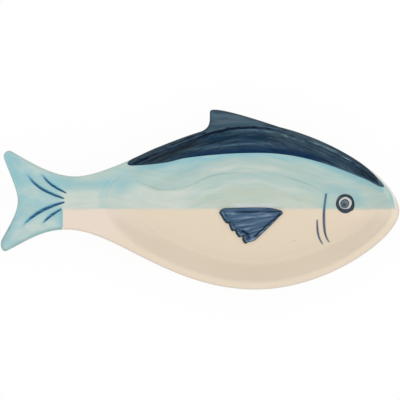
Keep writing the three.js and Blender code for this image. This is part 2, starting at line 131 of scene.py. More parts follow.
RIM_Z = clay_high[2]
RIM_WIDTH = 3.2
RIM_WIDTHS = ([-40, -25, -10, 10], [3.4, 3.6, 3.9, RIM_WIDTH])  # from the belly's lowest point up to the back
RIM_BACK_WIDTH = 2.2  # at the crest, where the back fin widens it
RIM_BACK_REACH = 30.0  # mm along the back over which it narrows
WELL_DEPTH = 9.0
WALL_RUN = 10.2  # plan width of the well's wall
TAIL_WALL_RUN = 16.5  # and at its tail end, where it slopes more gently
WALL_THICKNESS = 4.6
LIP_SOFT = 0.9  # half-widths of the bends at the lip, at the floor's edge and under the bowl
FLOOR_SOFT = 1.6
FLOOR_SOFT_BACK = 4.5  # on the back's side, where the floor rises more slowly
FLOOR_BACK_Y = (-3.0, 6.0)  # where the one passes into the other
BOWL_SOFT = 2.0
SLAB_THICKNESS = 6.0
EDGE_ROUND = 1.3  # rounding of the outer edge, in plan and in height
EDGE_ROUND_HEIGHT = 2.4
FLOOR_Z = RIM_Z - WELL_DEPTH
BASE_Z = 2.5
WELL_END = (-49.5, 4.5)
WELL_SHOULDER_X = -32.5  # where the rim leaves the outline on the back, and on the belly
WELL_HIP_X = -28.0


def floor_edge(distance=0.0, tail_run=WALL_RUN):
    """The oval edge of the well's floor, drawn in by a distance, for a wall of some width at its tail end."""
    drawn_in = RIM_WIDTH + WALL_RUN + distance
    (nose_x, nose_y, *_), (crest_x, crest_y, *_), (belly_x, belly_y, *_) = FISH[0], FISH[1], FISH[-1]
    return pen(
        [
            (nose_x - drawn_in, nose_y, 90, 0.15, 0.18),
            (crest_x, crest_y - drawn_in, 180, 0.3, 0.3),
            (WELL_END[0] + tail_run + distance, WELL_END[1], 270, 0.2, 0.2),
            (belly_x, belly_y + drawn_in, 0, 0.36, 0.32),
        ],
        closed=True,
    )


def bell(distance, width):
    """1 at no distance, and falling smoothly to a third at the width."""
    return np.exp(-((distance / width) ** 2))


rim_width = np.interp(fish.imag, *RIM_WIDTHS)
on_back = fish.imag > RIM_WIDTHS[0][-1]
rim_width -= (RIM_WIDTH - RIM_BACK_WIDTH) * bell(fish.real - FISH[1][0], RIM_BACK_REACH) * on_back
rim_edge = inset(fish, rim_width)
mouth_back = rim_edge[: np.argmax(rim_edge.real < WELL_SHOULDER_X)]
mouth_belly = rim_edge[np.flatnonzero(rim_edge.real < WELL_HIP_X)[-1] + 1 :]
shoulder, hip = mouth_back[-1], mouth_belly[0]
mouth_end = pen(
    [
        (shoulder.real, shoulder.imag, heading(mouth_back[-2], shoulder), 0, 0.4),
        (*WELL_END, 270, 0.4, 0.25),
        (hip.real, hip.imag, heading(hip, mouth_belly[1]), 0.25, 0),
    ]
)
mouth = np.concatenate([mouth_back[:-1], mouth_end[:-1], mouth_belly])


def from_stretch(plan, start, end):
    """Distance of plan points from a straight stretch."""
    share = np.clip(((plan - start) * np.conj(end - start)).real / abs(end - start) ** 2, 0, 1)
    return abs(plan - start - share * (end - start))


def depth_inside(path, plan):
    """How far plan points lie inside a closed path, negative outside: the least distance to its stretches, with
    the sign from how often a line to the right crosses them."""
    least = np.full(plan.shape, np.inf)
    inside = np.zeros(plan.shape, bool)
    for start, end in zip(path, np.roll(path, -1)):
        least = np.minimum(least, from_stretch(plan, start, end))
        crossed = (start.imag > plan.imag) != (end.imag > plan.imag)
        left = ((plan - start) * np.conj(end - start)).imag > 0
        inside ^= crossed & (left == (end.imag > start.imag))
    return np.where(inside, least, -least)


def well_run(plan, tail_run=TAIL_WALL_RUN):
    """How far in from the well's mouth plan points lie, negative on the rim: on the wall it is the share of the
    way from mouth to floor, times the wall's width."""
    from_mouth = depth_inside(mouth, plan)
    from_floor = depth_inside(floor_edge(0, tail_run), plan)
    on_wall = WALL_RUN * from_mouth / np.maximum(from_mouth - from_floor, 1e-6)
    return np.where(from_mouth < 0, from_mouth, np.where(from_floor > 0, WALL_RUN + from_floor, on_wall))


def ramp(run, soft):
    """Nothing before the bend and the run itself after it, with a parabola of that half-width between."""
    return np.where(abs(run) < soft, (run + soft) ** 2 / (4 * soft), np.maximum(run, 0))


def rounding(share):
    """Height of a quarter circle of radius 1 at a share of its width: 0 before it, and 1 after it."""
    return np.sqrt(1 - (1 - np.clip(share, 0, 1)) ** 2)


def edge_drop(plan):
    """How far the outer edge's elliptic rounding falls below the rim's face."""
    return EDGE_ROUND_HEIGHT * (1 - rounding(depth_inside(outline, plan) / EDGE_ROUND))


def smooth(value, start, end):
    """0 at the start and 1 at the end, with an S-shaped rise between. The end may lie on either side."""
    share = np.clip((value - start) / (end - start), 0, 1)
    return share**2 * (3 - 2 * share)


def upper_face(plan):
    """Height of the dish's upper face: the rim's level, less the well's wall and the rounding of the edge."""
    run = well_run(plan)
    floor_soft = FLOOR_SOFT + (FLOOR_SOFT_BACK - FLOOR_SOFT) * smooth(plan.imag, *FLOOR_BACK_Y)
    fall = ramp(run, LIP_SOFT) - ramp(run - WALL_RUN, floor_soft)
    return RIM_Z - WELL_DEPTH / WALL_RUN * fall - edge_drop(plan)


def lower_face(plan):
    """Height of the dish's lower face: the slab's underside, less the bowl, whose wall follows the well's."""
    slope = WELL_DEPTH / WALL_RUN
    slab_z = RIM_Z - SLAB_THICKNESS
    start = WALL_RUN - (slab_z - FLOOR_Z) / slope - WALL_THICKNESS / np.sin(np.arctan(slope))
    run = well_run(plan, WALL_RUN) - start
    fall = ramp(run, BOWL_SOFT) - ramp(run - (slab_z - BASE_Z) / slope, BOWL_SOFT)
    return slab_z - slope * fall + edge_drop(plan)


SPINE = (-80 + 4.5j, 80 + 0j)  # the line inside the fish that its rows of points close in on
SPINE_STATIONS = ([-75, -60, 70, 99.5], [-80, -60, 62, 80])  # from a place on the outline to one on the spine
EDGE_TURNS = np.radians(np.linspace(0, 90, 8))  # steps of the outer edge's rounding
NEAR_ROWS = 40  # across the fin, the rim and the wall
NEAR_REACH = 27.0
NEAR_SHARE = 0.8  # or this share of the way to the spine, where that is less
FAR_ROWS = 8  # and on to the spine
SPINE_GAP = 0.012  # share of the way that is left open and then zipped shut


def rows_from_edge(near_rows, far_rows):
    """Plan rows from the outline in to the spine: first the rounded edge, then straight lines to the spine."""
    edge = [inset(outline, EDGE_ROUND * (1 - np.cos(turn))) for turn in EDGE_TURNS]
    start = edge[-1]
    spine_x = np.interp(outline.real, *SPINE_STATIONS)
    spine_x = (spine_x + spine_x[::-1]) / 2  # the same for both points of a pair across the spine
    along = (spine_x - SPINE[0].real) / (SPINE[1].real - SPINE[0].real)
    end = SPINE[0] + (SPINE[1] - SPINE[0]) * along
    near = np.minimum(NEAR_REACH / abs(end - start), NEAR_SHARE)
    shares = [near * step for step in np.linspace(0, 1, near_rows + 1)[1:]]
    shares += [near + (1 - SPINE_GAP - near) * step for step in np.linspace(0, 1, far_rows + 1)[1:]]
    return np.array(edge + [start + (end - start) * share for share in shares])


def linear(hex_colour):
    """An sRGB hex colour as linear red, green, blue and alpha."""
    value = np.array([int(hex_colour[i : i + 2], 16) for i in (1, 3, 5)]) / 255
    value = np.where(value <= 0.04045, value / 12.92, ((value + 0.055) / 1.055) ** 2.4)
    return (*value, 1.0)


def add(tree, kind, inputs=None, **settings):
    """Adds a node with its settings. An input is a value, or another node's output to link."""
    node = tree.nodes.new("ShaderNode" + kind)
    for name, value in settings.items():
        setattr(node, name, value)
    for key, value in (inputs or {}).items():
        if isinstance(value, bpy.types.NodeSocket):
            tree.links.new(value, node.inputs[key])
        else:
            node.inputs[key].default_value = value
    return node


GLAZE_WAVE = 6.0  # mm between the waves that the glaze's flow leaves
GLAZE_PIT = 0.9  # mm between its finer dimples
GLAZE_RELIEF = 0.2  # mm of height in both
GLAZE_BUMP = 0.12  # share of that height which the light shows
GLAZE_ROUGHNESS = (0.16, 0.28)  # in the waves' hollows and on their crests
GLAZE_IOR = 1.38  # a thin, satin glaze mirrors less than window glass


def under_glaze(name, paint, ior=GLAZE_IOR):
    """A fired colour under clear glaze: its own tints, a broad soft sheen, and the glaze's faint waves.
    paint adds the colour's nodes and returns their output."""
    material = bpy.data.materials.new(name)
    material.use_nodes = True
    tree = material.node_tree
    tree.nodes.clear()
    place = add(tree, "TexCoord").outputs["Object"]
    waves = add(tree, "TexNoise", {"Vector": place, "Scale": 1 / (GLAZE_WAVE * MM), "Detail": 1.0})
    pits = add(tree, "TexNoise", {"Vector": place, "Scale": 1 / (GLAZE_PIT * MM), "Detail": 2.0})
    relief = add(tree, "Math", {0: waves.outputs["Fac"], 1: pits.outputs["Fac"]}, operation="MULTIPLY")
    bump = {"Height": relief.outputs[0], "Strength": GLAZE_BUMP, "Distance": GLAZE_RELIEF * MM}
    bump = add(tree, "Bump", bump).outputs[0]
    sheen = {"Value": waves.outputs["Fac"], "To Min": GLAZE_ROUGHNESS[0], "To Max": GLAZE_ROUGHNESS[1]}
    sheen = add(tree, "MapRange", sheen).outputs[0]
    surface = {"Base Color": paint(tree, place), "Roughness": sheen, "IOR": ior, "Normal": bump}
    shader = add(tree, "BsdfPrincipled", surface)
    add(tree, "OutputMaterial", {"Surface": shader.outputs[0]})
    return material


SHARP_ANGLE = np.radians(70)
MERGE = 1e-7  # metres between points that are one
scene = bpy.context.scene


def add_piece(name, plan, height, material, slot, node, joined=False, **marks):
    """Adds a closed piece through a stack of loops of points. The last loop joins the first, or else the end
    loops are zipped shut, each point to the one across its loop. Marks are numbers or plan points, one to each
    point, that the material reads."""
    around = plan.shape[1]
    index = np.arange(plan.size).reshape(plan.shape)
    near, far = (index, np.roll(index, -1, 0)) if joined else (index[:-1], index[1:])
    faces = [np.stack([near, np.roll(near, -1, 1), np.roll(far, -1, 1), far], -1).reshape(-1, 4)]
    for loop in [] if joined else [index[0], index[-1]]:
        side, across = loop[: around // 2], loop[::-1][: around // 2]
        faces.append(np.stack([side[:-1], across[:-1], across[1:], side[1:]], -1))
    points = np.stack([(plan + SHIFT).real, (plan + SHIFT).imag, height], -1).reshape(-1, 3) * MM
    mesh = bpy.data.meshes.new(name)
    mesh.from_pydata(points, [], np.concatenate(faces).tolist())
    for mark, values in marks.items():
        kind, key = "FLOAT", "value"
        if np.iscomplexobj(values):
            kind, key = "FLOAT_VECTOR", "vector"
            values = np.stack([values.real, values.imag, 0 * values.real], -1)
        mesh.attributes.new(mark, kind, "POINT").data.foreach_set(key, values.astype(np.float32).ravel())
    edit = bmesh.new()
    edit.from_mesh(mesh)
    bmesh.ops.remove_doubles(edit, verts=edit.verts, dist=MERGE)
    bmesh.ops.dissolve_degenerate(edit, edges=edit.edges, dist=MERGE / 10)
    bmesh.ops.recalc_face_normals(edit, faces=edit.faces)
    edit.to_mesh(mesh)
    edit.free()
    mesh.shade_smooth()
    mesh.set_sharp_from_angle(angle=SHARP_ANGLE)
    mesh.materials.append(material)
    piece = bpy.data.objects.new(name, mesh)
    scene.collection.objects.link(piece)
    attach(piece, "root")
    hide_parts(node)


# Cream glaze gives the eye a warm, nearly even ground, over which painted light and shade set the slopes apart
CREAM = "#e8d9c4"
CREAM_WARM = "#e5d5be"
CREAM_CHANGES = {
    "stalk": "#e9d9ca",  # on the tail's stalk, where the clay blushes through
    "thin": "#fae8d5",  # painted light on the wall, the floor towards the nose and the waterline's ends, and thinner glaze on the rim
    "thick": "#d5c4ae",  # painted shade on the wall near the tail
    "edge": "#dacdbd",  # painted shade over the rounded outer edge
    "back": "#eceae3",  # painted highlight along the nose's back
}
EDGE_SHADE_REACH = 1.6  # mm in from the outer edge over which the painted shade reaches
CREAM_CLOUD = 26.0  # mm across its drifts of tint
WALL_PAINTED_LIGHT = ([20, 50, 75, 90], [0.0, 0.08, 0.18, 0.36])  # how much painted light lifts the wall, rising towards the nose
IRON = "#8a6a4c"  # one speck of iron, burnt through the glaze on the well's floor
IRON_SHARE = 0.5
SPECK = ((47.25 + SHIFT.real) * MM, (-15.5 + SHIFT.imag) * MM, FLOOR_Z * MM)
SPECK_RADII = (0.5 * MM, 0.1 * MM)  # where it begins to show and where it is strongest


def cream_glaze(tree, place):
    """Cream glaze that drifts in tint, with a blush on the stalk, painted light and shade, and one speck of iron.
    """
    drift = add(tree, "TexNoise", {"Vector": place, "Scale": 1 / (CREAM_CLOUD * MM), "Detail": 3.0})
    ground = {0: drift.outputs["Fac"], 6: linear(CREAM), 7: linear(CREAM_WARM)}
    tint = add(tree, "Mix", ground, data_type="RGBA").outputs[2]
    for mark, change in CREAM_CHANGES.items():
        share = add(tree, "Attribute", attribute_name=mark).outputs["Fac"]
        tint = add(tree, "Mix", {0: share, 6: tint, 7: linear(change)}, data_type="RGBA").outputs[2]
    away = add(tree, "VectorMath", {0: place, 1: SPECK}, operation="DISTANCE").outputs["Value"]
    speck = {"Value": away, "From Min": SPECK_RADII[0], "From Max": SPECK_RADII[1], "To Max": IRON_SHARE}
    speck = add(tree, "MapRange", speck).outputs[0]
    return add(tree, "Mix", {0: speck, 6: tint, 7: linear(IRON)}, data_type="RGBA").outputs[2]


def between(value, start, end, soft):
    """1 between the start and the end, with soft shoulders."""
    return smooth(value, start - soft, start + soft) * smooth(value, end + soft, end - soft)


def spot(plan, centre, width, height):
    """A soft oval spot, which falls to a third at its width and height from the centre."""
    return bell(np.hypot((plan.real - centre.real) / width, (plan.imag - centre.imag) / height), 1)


top_rows = rows_from_edge(NEAR_ROWS, FAR_ROWS)[::-1]
under_rows = rows_from_edge(NEAR_ROWS // 2, FAR_ROWS // 2)
dish_rows = np.concatenate([top_rows, under_rows])
run = well_run(dish_rows)
x, y = dish_rows.real, dish_rows.imag
by_waterline = smooth(y, -10, -2) * smooth(x, -15, -35)
# Painted light on the wall, on the floor towards the nose and at both ends of the waterline, and thinner glaze on
# the rim
wall_light_and_thin_glaze = between(run, 1.5, 9.8, 1.2) * (np.interp(x, *WALL_PAINTED_LIGHT) + 0.06 * by_waterline)
wall_light_and_thin_glaze += 0.1 * smooth(run, 1, -1) + 0.25 * smooth(x, 50, 85) * smooth(run, 8, 12)
wall_light_and_thin_glaze += 0.1 * spot(dish_rows, -30 - 2.5j, 14, 5) + 0.3 * smooth(x, 70, 83) * smooth(y, -9, -2)
# Painted shade on the wall near the tail, in a band that narrows towards the waterline
shade_end = np.interp(y, [-20, -8], [9, 4.5])
glaze_thick = 0.28 * between(run, 1.2, shade_end, 1.5) * smooth(x, -5, -34) * smooth(y, -2, -8)
add_piece(
    "dish",
    dish_rows,
    np.concatenate([upper_face(top_rows), lower_face(under_rows)]),
    under_glaze("cream_glazed_stoneware", cream_glaze),
    "stoneware",
    "clay_body",
    thin=wall_light_and_thin_glaze,
    thick=glaze_thick,
    # painted shade over the rounded outer edge
    edge=smooth(depth_inside(outline, dish_rows), EDGE_SHADE_REACH, 0),
    # painted highlight along the nose's back
    back=0.9 * smooth(x, 50, 70) * smooth(y, 0, 9),
    stalk=smooth(x, -34, -48),
)

# Foot ring
# The ring that the dish stands on, one with the clay. Its underside is wiped clean of glaze before the firing,
# so that it doesn't stick to the kiln shelf, and stays bare.
FOOT_INSET = 2.0  # from under the edge of the well's floor
FOOT_WIDTH = 4.0
FOOT_ROUND = 0.6
FOOT_FLARE = 1.2  # how far it spreads where it grows out of the bowl
FOOT_SUNK = 0.2  # how far its top reaches into the bowl
FOOT_POINTS = 420
FOOT_TURNS = np.radians(np.linspace(0, 90, 7))
FOOT_WIPED = (0.8, 0.4)  # mm up, where the glaze ends and where the clay is bare
BARE_CLAY = "#cdb89d"  # gives the eye a dry buff line under the cream


def wiped_foot(tree, place):
    """Cream glaze on the sides, and bare clay on the lowest half millimetre."""
    height = add(tree, "SeparateXYZ", {0: place}).outputs["Z"]
    bare = {"Value": height, "From Min": FOOT_WIPED[0] * MM, "From Max": FOOT_WIPED[1] * MM}
    bare = add(tree, "MapRange", bare).outputs[0]
    return add(tree, "Mix", {0: bare, 6: linear(CREAM), 7: linear(BARE_CLAY)}, data_type="RGBA").outputs[2]


flare_in, round_in = FOOT_FLARE * (np.sin(FOOT_TURNS) - 1), FOOT_ROUND * (1 - np.cos(FOOT_TURNS))
flare_z, round_z = BASE_Z - FOOT_FLARE * (1 - np.cos(FOOT_TURNS)), FOOT_ROUND * (1 - np.sin(FOOT_TURNS))
side_in, side_z = np.concatenate([flare_in, round_in]), np.concatenate([flare_z, round_z])
side_z[0] += FOOT_SUNK
insets = np.concatenate([FOOT_INSET + side_in, FOOT_INSET + FOOT_WIDTH - side_in[::-1]])
foot_rows = np.array([evenly(floor_edge(distance), FOOT_POINTS, closed=True) for distance in insets])
foot_z = np.concatenate([side_z, side_z[::-1]])
add_piece(
    "foot_ring",
    foot_rows,
    np.tile(foot_z[:, None], FOOT_POINTS),
    under_glaze("wiped_stoneware_foot", wiped_foot),
    "stoneware",
    "clay_body",
    joined=True,
)

# Flank wash
# A thin wash of pale blue slip, brushed along the fish above a masked waterline. It pools at the lip of the
# well's tail end, and its strokes leave arched tide lines and pale gaps where they meet.
WASH_SEAT = 0.04  # mm from the clay to the back of a coat
WASH_BODY = 0.06  # and from there to its face
FEATHER = 0.6  # mm over which a coat thins out at its edges
BARE_NOSE = ([60, 90, 96, 99.5], [0.2, 0.8, 1.0, 2.0])  # cream left bare at the outer edge
NOSE_POINTS = 40  # of that edge hold the nose's end
TUCK = 0.8  # how far a coat runs on under the next one
NAVY_TIP = 7.0  # how far this coat runs on under the navy coat's rounded ends
MASK_PAST = 0.5  # from the end of the frame's tail coat to the masked line across the stalk
WATERLINE_WANDER = 0.12  # how far the mask along the waterline wavers
WATERLINE_LIFT = 0.35  # and lifts over the lip at the well's tail end
LIP_X = -48.5
LIP_REACH = 4.5
FLANK_COLUMNS = 300
FLANK_ROWS = 70
LAYER_SHIFT = 3.7  # sets one layer's streaks apart from the next one's
STREAK_RANGE = {"From Min": 0.3, "From Max": 0.7}  # holds most of a noise's values


def from_path(plan, path):
    """Least distance of plan points from an open path."""
    return np.min([from_stretch(plan, start, end) for start, end in zip(path, path[1:])], 0)


def above_path(plan, path):
    """Height of plan points over a path that runs towards the nose."""
    return plan.imag - np.interp(plan.real, path.real, path.imag)


def spots(plan, places):
    """Sum of soft oval spots, each a strength, a centre, a width and a height."""
    return sum(strength * spot(plan, centre, width, height) for strength, centre, width, height in places)


def from_ends(grid):
    """Distance of a grid's points from the nearer end of their column."""
    run = np.cumsum(abs(np.diff(grid, axis=0, prepend=grid[:1])), 0)
    return np.minimum(run, run[-1] - run)


def feathered(grid, body):
    """Thickness of a coat: its body, rounded off to nothing at the grid's four edges."""
    return body * rounding(np.minimum(from_ends(grid), from_ends(grid.T).T) / FEATHER)


def add_coat(node, grid, seat, body, material, slot, joined=False, **marks):
    """Adds a coat over the dish. Its back lies a seat above the clay, and its face a body above its back."""
    back_z = upper_face(grid) + seat
    loops = np.concatenate([grid, grid[:, ::-1]], 1)
    height = np.concatenate([back_z + body, back_z[:, ::-1]], 1)
    marks = {mark: np.concatenate([values, values[:, ::-1]], 1) for mark, values in marks.items()}
    add_piece(node + "_coat", loops, height, material, slot, node, joined, **marks)


def brushed(name, base, layers, ior=GLAZE_IOR):
    """Slip that a brush lays in layers, under glaze. Each layer is a mark that says how much its tint covers, the
    tint, how uneven it is, and the length and width in mm of the streaks that make it so."""

    def paint(tree, place):
        brush = add(tree, "Attribute", attribute_name="brush").outputs["Vector"]
        colour = linear(base)
        for layer, (mark, tint, uneven, length, width) in enumerate(layers):
            scale = {0: brush, 1: (1 / length, 1 / width, 1), 2: (0, 0, LAYER_SHIFT * layer)}
            along = add(tree, "VectorMath", scale, operation="MULTIPLY_ADD").outputs[0]
            streak = add(tree, "TexNoise", {"Vector": along, "Scale": 1.0, "Detail": 3.0}).outputs["Fac"]
            share = add(tree, "Attribute", attribute_name=mark).outputs["Fac"]
            more = {"Value": streak, **STREAK_RANGE, "To Min": -uneven, "To Max": uneven}
            more = add(tree, "MapRange", more).outputs[0]
            cover = add(tree, "Math", {0: share, 1: more}, operation="ADD", use_clamp=True).outputs[0]
            colour = add(tree, "Mix", {0: cover, 6: colour, 7: linear(tint)}, data_type="RGBA").outputs[2]
        return colour

    return under_glaze(name, paint, ior)


tail_edge_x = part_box("tail_wash")[1].x / MM - SHIFT.real + MASK_PAST
bare_edge = inset(fish, np.interp(fish.real, *BARE_NOSE))
bare_back = bare_edge[: np.argmax(bare_edge.real < tail_edge_x - 2 * TUCK)]
navy_edge = pen(
    [
        (-36.6, 21.8, 2, 0, 0.35),
        (-17.0, 23.5, 9, 0.35, 0.35),
        (-7.0, 25.8, 8, 0.35, 0.3),
        (29.0, 28.35, 0, 0.35, 0.4),
        (82.5, 15.1, 337, 0.3, 0.4),
        (91.7, 10.8, 345, 0.4, 0),
    ]
)
nose_end = np.interp(0, bare_back.imag[:NOSE_POINTS], bare_back.real[:NOSE_POINTS])

flank_x = np.linspace(tail_edge_x - TUCK, nose_end, FLANK_COLUMNS)
wander = np.sin(flank_x / 7.3) + np.sin(flank_x / 2.9 + 1)
waterline = WATERLINE_WANDER * wander + WATERLINE_LIFT * bell(flank_x - LIP_X, LIP_REACH)
under_navy = np.interp(flank_x, navy_edge.real, navy_edge.imag)
past_tips = np.minimum(flank_x - navy_edge[0].real, navy_edge[-1].real - flank_x)
reach = TUCK + NAVY_TIP * smooth(past_tips, 2 * NAVY_TIP, NAVY_TIP)
flank_top = np.minimum(height_along(bare_back, flank_x), under_navy + reach)
flank_top = np.maximum(flank_top, waterline)
rise = np.linspace(0, 1, FLANK_ROWS)
flank = flank_x[:, None] + 1j * (waterline[:, None] + (flank_top - waterline)[:, None] * rise)
x, y, run = flank.real, flank.imag, well_run(flank)
drift = 0.5 * np.sin(x / 6.1 + 0.8) + 0.4 * np.sin(x / 2.7 + y / 2.2)  # a hand's slow waver, in mm
tide_high = pen(
    [
        (-32, 14.3, 342, 0, 0.35),
        (-15.5, 9.7, 2, 0.35, 0.3),
        (-1, 14, 31, 0.3, 0.3),
        (25, 18.4, 0, 0.4, 0.35),
        (62, 8.6, 330, 0.35, 0),
    ]
)
tide_low = pen(
    [
        (-8, 5.6, 5, 0, 0.3),
        (7, 8.6, 20, 0.35, 0.35),
        (20, 11.7, 5, 0.35, 0.3),
        (53, 6.4, 340, 0.35, 0),
    ]
)
over_high, over_low = above_path(flank, tide_high) + drift, above_path(flank, tide_low) + drift
to_navy = np.where(past_tips > 0, under_navy, np.inf)[:, None] - y
lip_pools = (0.5 * bell(run - 0.1, 0.35) + 0.35 * bell(run - 1.5, 0.5)) * smooth(x, -32, -38)
tide_strength = 0.16 + 0.34 * (bell(x + 24, 7) + bell(x - 5, 12) + bell(x - 50, 9))
FLANK_PALE = [  # strength, centre, width and height of the gaps between its strokes
    (0.45, -46 + 4.5j, 4, 4.5),
    (0.5, -2.5 + 8.8j, 8, 3.5),
    (0.4, 6 + 20.5j, 12, 1.6),
    (0.25, 25 + 19.3j, 8, 2),
    (0.25, 24 + 11.9j, 7, 1.4),
]
FLANK_BLUE = [  # and of the small pools in them
    (0.15, -66 + 13.5j, 5, 3),
    (0.4, -40.5 + 8.8j, 4, 2.2),
    (0.4, -40 + 12.5j, 5, 3.5),
    (0.45, -35 + 14.5j, 7, 6),
    (0.4, -5 + 21.6j, 14, 1.8),
    (0.15, 63 + 14.5j, 13, 6),
    (0.45, 69 + 9.8j, 8, 2.2),
    (0.6, 78.5 + 5.5j, 4, 4.5),
]
# A mark is the share that a layer covers, and a negative one holds its streaks back. The brush is the place
# along and across the strokes. All places and widths are in mm.
flank_marks = {
    "green": 0.85 * between(x, -6, 58, 7) * smooth(over_low, 0.5, -0.5),
    "pale": spots(flank, FLANK_PALE)
    + 0.85 * smooth(over_high, 0.2, -2.2) * between(x, -42, -7, 6)
    + 0.6 * bell(over_low - 1.7, 1.4) * between(x, 2, 52, 6)
    + 0.45 * bell(over_high - 2.8, 1.4) * between(x, 0, 46, 8)
    + 0.75 * smooth(y, 11, 8.5) * smooth(x, -49, -52)
    + 0.4 * smooth(y, 9, 4) * between(x, 40, 58, 6)
    + 0.25 * smooth(y, 4.5, 1) * (between(x, -10, 9, 4) + smooth(x, 74, 82)),
    "halo": 0.95 * bell(y - 2.0 - drift / 2, 1.1) * between(x, 17, 38.5, 3),
    "blue": spots(flank, FLANK_BLUE)
    + 0.75 * bell(to_navy - 1.2 - drift, 1.6) * smooth(x, -34, -28)
    + 0.5 * bell(to_navy - 0.2, 0.45)
    + 0.25 * bell(to_navy - 1.8 - drift, 2.0) * between(x, -18, 4, 5)
    + 0.25 * bell(y - 19 - drift, 1.6) * between(x, -30, -4, 5)
    + 0.6 * bell(y - 13 - drift, 2.4) * smooth(x, -42, -48)
    + lip_pools * (0.35 + 0.65 * between(y, 8, 18, 3))
    + 0.1 * bell(over_high + 1.4, 0.9) * between(x, 4, 46, 8)
    + 0.5 * bell(from_stretch(flank, 63.3 + 8j, 62.2 + 1j), 1.1)
    + 0.6 * bell(nose_end - x - 0.16 * y - 1.2, 0.7) * between(y, 2, 9, 2),
    "tide": tide_strength * bell(from_path(flank, tide_high), 0.35),
    "fade": 0.9 * smooth(y, 1.4, 0) - 0.2,
    "brush": x + 1j * np.minimum(over_high, 30),
}
# Thin slip gives the eye a watery blue-green that dries in faint arches and fades to cream at its edge
FLANK_LAYERS = [
    ("green", "#c2ccbc", 0.08, 18.0, 2.0),
    ("pale", "#d3dad0", 0.2, 18.0, 3.0),
    ("halo", "#d2d7da", 0.06, 8.0, 1.5),
    ("blue", "#90c1ca", 0.2, 18.0, 2.4),
    ("tide", "#86a6a2", 0.1, 9.0, 1.0),
    ("fade", "#e2d8c7", 0.2, 6.0, 1.5),
]
material = brushed("pale_blue_wash", "#b7cdc6", FLANK_LAYERS)
add_coat("flank_wash", flank, WASH_SEAT, feathered(flank, WASH_BODY), material, "flank_blue", **flank_marks)

# Tail wash
# A second, bluer wash over the whole tail, cut off along a straight masked line across the stalk.
# It is palest in blotches between the strokes and runs bluer along the fork and the masked line.
TAIL_BODY = 0.08
TAIL_BARE = 0.2  # cream left bare along the upper lobe's edge
TAIL_ROWS = 44


def edge_columns(bare, wanted):
    """Points at the outline's wanted places, down over its rounded edge, from a bare width inwards."""
    steps = [bare + EDGE_ROUND * (1 - np.cos(turn)) for turn in EDGE_TURNS[1:]]
    return np.array([inset(outline, step)[wanted] for step in steps]).T


def ruled(columns, ends, rows):
    """Columns of points carried on by straight lines to their ends."""
    start = columns[:, -1:]
    return np.concatenate([columns, start + (ends[:, None] - start) * np.linspace(0, 1, rows + 1)[1:]], 1)


tail_bare = TAIL_BARE * smooth(outline.imag, 14, 17) * smooth(outline.real, -97, -91)
tail_rim = edge_columns(tail_bare, outline.real < tail_edge_x)
hub = tail_edge_x + 1j * np.linspace(tail_rim[0, -1].imag, tail_rim[-1, -1].imag, len(tail_rim))
tail = ruled(tail_rim, hub, TAIL_ROWS)
x, y = tail.real, tail.imag
from_edge = depth_inside(outline, tail)
on_fork = smooth(x, -84, -96)
TAIL_STROKES = {  # start and end, each x, y and heading, and the width
    "upper_long": ((-86.0, 17.6, 300), (-67.6, 5.5, 340), 1.65),
    "upper_short": ((-78.8, 17.8, 300), (-66.5, 8.2, 333), 1.45),
    "lower_long": ((-88.3, -8.0, 50), (-67.4, 3.8, 14), 1.95),
    "lower_short": ((-78.5, -6.9, 50), (-69.0, 0.4, 28), 1.6),
}
STROKE_HANDLE = 0.35
tail_paths = {
    name: pen([(*start, 0, STROKE_HANDLE), (*end, STROKE_HANDLE, 0)])
    for name, (start, end, _) in TAIL_STROKES.items()
}
near_strokes = np.min([from_path(tail, path) for path in tail_paths.values()], 0)
TAIL_PALE = [  # strength, centre, width and height of the thin blotches
    (0.7, -86 + 22.5j, 6, 3),
    (0.4, -80 + 19j, 5, 2.5),
    (0.6, -84 + 8j, 5, 2.6),
    (0.7, -79 - 8j, 9, 3.5),
    (0.6, -94 - 14j, 7, 5),
]
TAIL_BLUE = [  # and of the wet ones, the last of them taken up again
    (0.4, -89.5 + 15.5j, 4, 6),
    (0.65, -70 + 14j, 5.5, 3),
    (0.3, -84.5 + 3.5j, 5, 4),
    (-0.4, -94 - 14j, 7, 5),
]
tail_marks = {
    "pale": spots(tail, TAIL_PALE) + 0.9 * smooth(x, tail_edge_x - 4, tail_edge_x) * between(y, 0.5, 9.5, 1.5),
    "blue": spots(tail, TAIL_BLUE)
    + 0.72 * bell(from_edge - 2.5, 2.5) * on_fork
    + 0.72 * bell(x - tail_edge_x, 2.0) * smooth(y, 2, -1)
    + 0.45 * bell(near_strokes, 1.6),
    # painted shade: darker teal along the lower lobe's edge and over the rounded outer edge
    "teal": 0.6 * bell(from_edge - 0.8, 0.9) * smooth(y, -2, -8) + 0.25 * bell(from_edge - 0.5, 0.6),
    "brush": tail,
}
# The wetter wash gives the eye a clear blue in soft blotches, with painted shade in darker teal along the lower
# edges
TAIL_LAYERS = [
    ("pale", "#ced8d1", 0.3, 9.0, 5.0),
    ("blue", "#8bc0ca", 0.25, 8.0, 5.0),
    ("teal", "#86aeaa", 0.2, 8.0, 4.0),
]
material = brushed("blue_tail_wash", "#aecdcd", TAIL_LAYERS)
add_coat("tail_wash", tail, WASH_SEAT, feathered(tail, TAIL_BODY), material, "tail_blue", **tail_marks)

